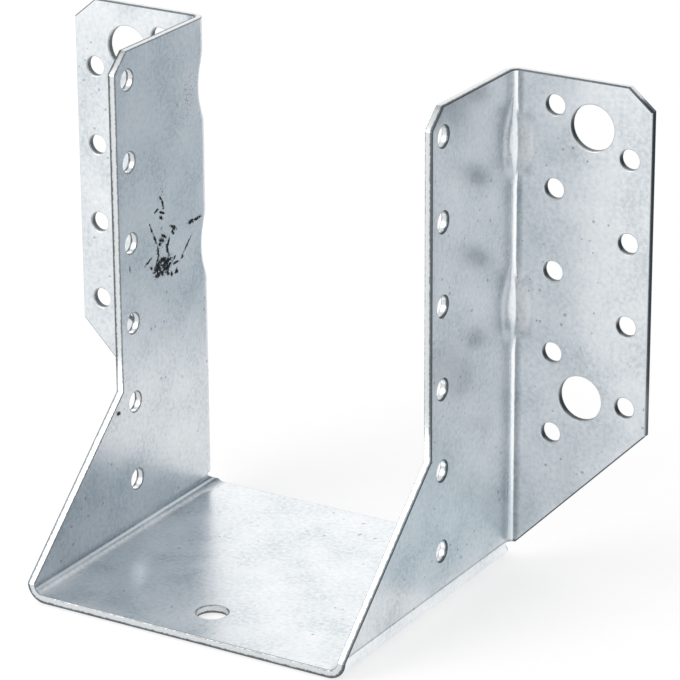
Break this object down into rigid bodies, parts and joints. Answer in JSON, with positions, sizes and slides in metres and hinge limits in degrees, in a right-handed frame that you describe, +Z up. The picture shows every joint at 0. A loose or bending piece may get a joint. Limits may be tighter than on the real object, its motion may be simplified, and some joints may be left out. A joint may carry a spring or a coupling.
{
  "type": "joist hanger",
  "caption": "Face-fix joist hanger folded from galvanised sheet: a seat and two cheeks that hold a joist's end, with drilled wings that fix to the beam.",
  "frame": {"origin": "middle of the seat's underside", "axes": "+X across the seat from cheek to cheek, +Y towards the beam that the wings are fixed to, +Z up"},
  "size_m": [0.156, 0.078, 0.122],
  "materials": {
    "galvanised_sheet": "hot-dip galvanised, soft sheen"
  },
  "bodies": {
    "root": {"joist_hanger": "galvanised_sheet"}
  },
  "joints": []
}
